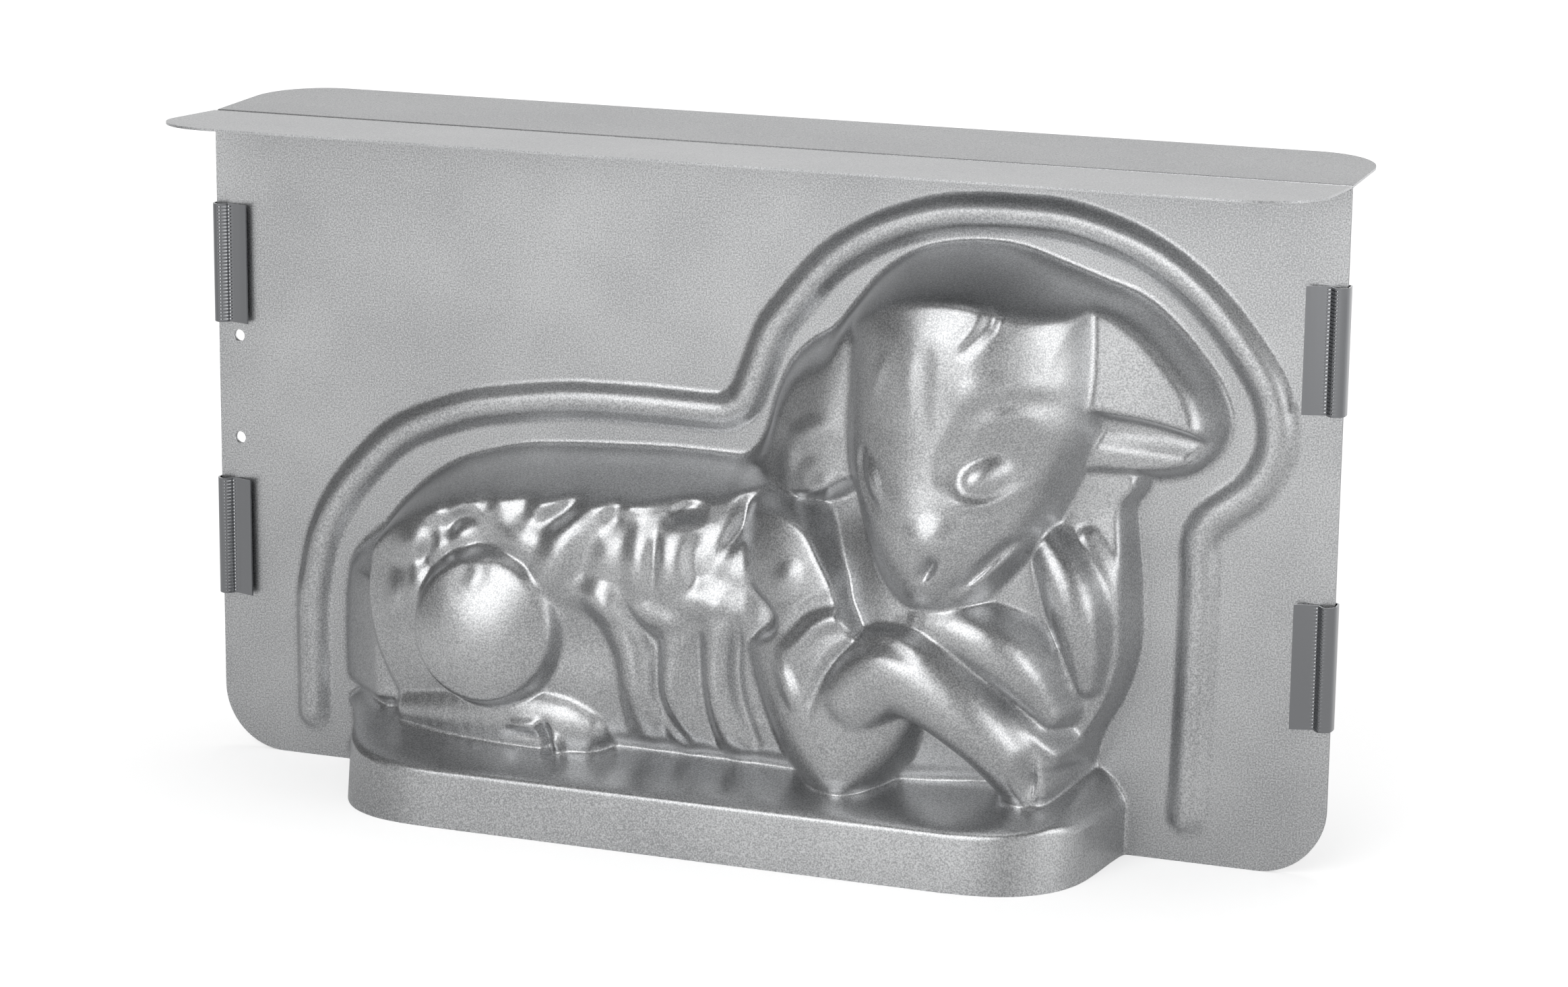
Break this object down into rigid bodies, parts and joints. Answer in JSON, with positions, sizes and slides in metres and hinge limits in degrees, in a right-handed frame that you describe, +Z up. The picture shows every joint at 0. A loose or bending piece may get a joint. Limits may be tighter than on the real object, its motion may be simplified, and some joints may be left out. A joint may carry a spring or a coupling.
{
  "type": "lamb cake mould",
  "caption": "Two-part pressed steel cake mould in the shape of a lying lamb, with a sealing bead, bent feet and sprung edge clips.",
  "frame": {"origin": "in the parting plane, at the middle of the bottom edge that the mould stands on", "axes": "+X along the lamb towards its chest, +Y from the front half to the back half, +Z up"},
  "size_m": [0.3016, 0.0936, 0.1724],
  "materials": {
    "coated_steel": "satin silver-grey, fine metallic speckle",
    "spring_steel": "bright polished"
  },
  "bodies": {
    "front_half": {"front_half": "coated_steel"},
    "back_half": {"back_half": "coated_steel"},
    "left_upper_clip": {"left_upper_clip": "spring_steel"},
    "left_lower_clip": {"left_lower_clip": "spring_steel"},
    "right_upper_clip": {"right_upper_clip": "spring_steel"},
    "right_lower_clip": {"right_lower_clip": "spring_steel"}
  },
  "joints": [
    {"name": "back_half_parts", "type": "slide", "parent": "front_half", "child": "back_half", "axis": [0, 1, 0], "range_m": [0, 0.1]},
    {"name": "left_upper_clip_pulls_off", "type": "slide", "parent": "front_half", "child": "left_upper_clip", "axis": [-1, 0, 0], "range_m": [0, 0.1]},
    {"name": "left_lower_clip_pulls_off", "type": "slide", "parent": "front_half", "child": "left_lower_clip", "axis": [-1, 0, 0], "range_m": [0, 0.1]},
    {"name": "right_upper_clip_pulls_off", "type": "slide", "parent": "front_half", "child": "right_upper_clip", "axis": [1, 0, 0], "range_m": [0, 0.1]},
    {"name": "right_lower_clip_pulls_off", "type": "slide", "parent": "front_half", "child": "right_lower_clip", "axis": [1, 0, 0], "range_m": [0, 0.1]}
  ],
  "couplings": [
    {"joint": "left_upper_clip_pulls_off", "follows": "back_half_parts", "ratio": 1},
    {"joint": "left_lower_clip_pulls_off", "follows": "back_half_parts", "ratio": 1},
    {"joint": "right_upper_clip_pulls_off", "follows": "back_half_parts", "ratio": 1},
    {"joint": "right_lower_clip_pulls_off", "follows": "back_half_parts", "ratio": 1}
  ]
}
